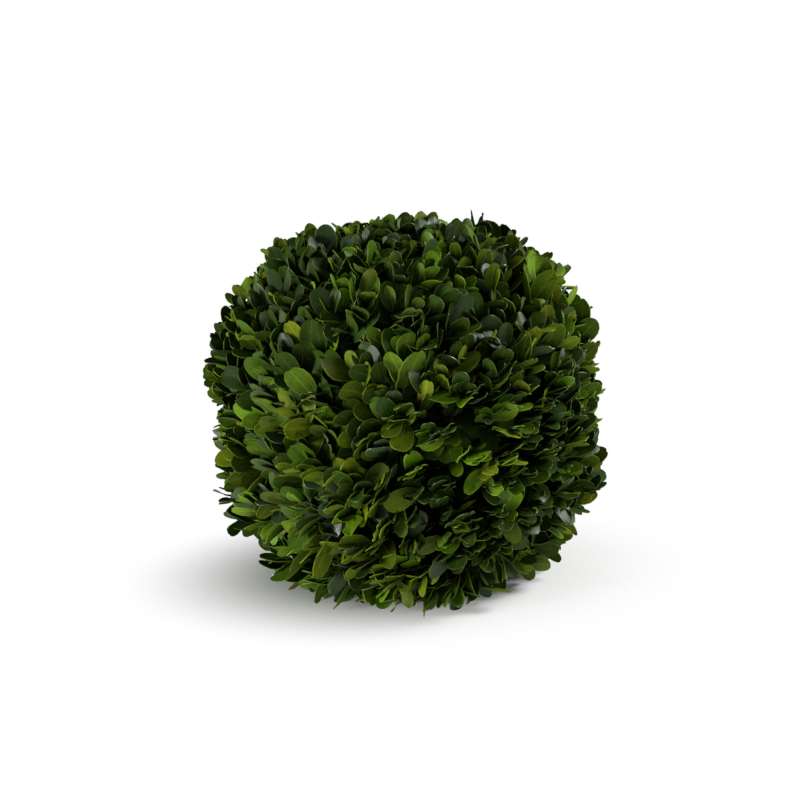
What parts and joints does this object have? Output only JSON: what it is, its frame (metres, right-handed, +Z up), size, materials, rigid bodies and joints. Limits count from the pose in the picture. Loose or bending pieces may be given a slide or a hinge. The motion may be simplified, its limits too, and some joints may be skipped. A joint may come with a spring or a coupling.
{
  "type": "preserved box foliage ball",
  "caption": "Rounded ball of preserved box foliage: bunches of leafy sprigs on short stems set all round a foam core, standing on its flattened underside.",
  "frame": {"origin": "on the plane of the flat underside, below the middle of the ball's outline", "axes": "+Z up from the flat underside through the crown, +X to the right and +Y to the back as the ball is seen from the front"},
  "size_m": [0.203, 0.2016, 0.1847],
  "materials": {
    "box_leaves": "satin",
    "cut_stems": "matte",
    "foam": "matte"
  },
  "bodies": {
    "root": {"foam_core": "foam", "bunch_top": "box_leaves", "bunch_upper_1": "box_leaves", "bunch_upper_2": "box_leaves", "bunch_upper_3": "box_leaves", "bunch_upper_4": "box_leaves", "bunch_upper_5": "box_leaves", "bunch_upper_6": "box_leaves", "bunch_middle_1": "box_leaves", "bunch_middle_2": "box_leaves", "bunch_middle_3": "box_leaves", "bunch_middle_4": "box_leaves", "bunch_middle_5": "box_leaves", "bunch_middle_6": "box_leaves", "bunch_middle_7": "box_leaves", "bunch_middle_8": "box_leaves", "bunch_lower_1": "box_leaves", "bunch_lower_2": "box_leaves", "bunch_lower_3": "box_leaves", "bunch_lower_4": "box_leaves", "bunch_lower_5": "box_leaves", "bunch_lower_6": "box_leaves", "bunch_lower_7": "box_leaves", "bunch_lower_8": "box_leaves", "bunch_skirt_1": "box_leaves", "bunch_skirt_2": "box_leaves", "bunch_skirt_3": "box_leaves", "bunch_skirt_4": "box_leaves", "bunch_skirt_5": "box_leaves", "bunch_foot": "box_leaves", "stems_top": "cut_stems", "stems_upper_1": "cut_stems", "stems_upper_2": "cut_stems", "stems_upper_3": "cut_stems", "stems_upper_4": "cut_stems", "stems_upper_5": "cut_stems", "stems_upper_6": "cut_stems", "stems_middle_1": "cut_stems", "stems_middle_2": "cut_stems", "stems_middle_3": "cut_stems", "stems_middle_4": "cut_stems", "stems_middle_5": "cut_stems", "stems_middle_6": "cut_stems", "stems_middle_7": "cut_stems", "stems_middle_8": "cut_stems", "stems_lower_1": "cut_stems", "stems_lower_2": "cut_stems", "stems_lower_3": "cut_stems", "stems_lower_4": "cut_stems", "stems_lower_5": "cut_stems", "stems_lower_6": "cut_stems", "stems_lower_7": "cut_stems", "stems_lower_8": "cut_stems", "stems_skirt_1": "cut_stems", "stems_skirt_2": "cut_stems", "stems_skirt_3": "cut_stems", "stems_skirt_4": "cut_stems", "stems_skirt_5": "cut_stems", "stems_foot": "cut_stems"}
  },
  "joints": []
}
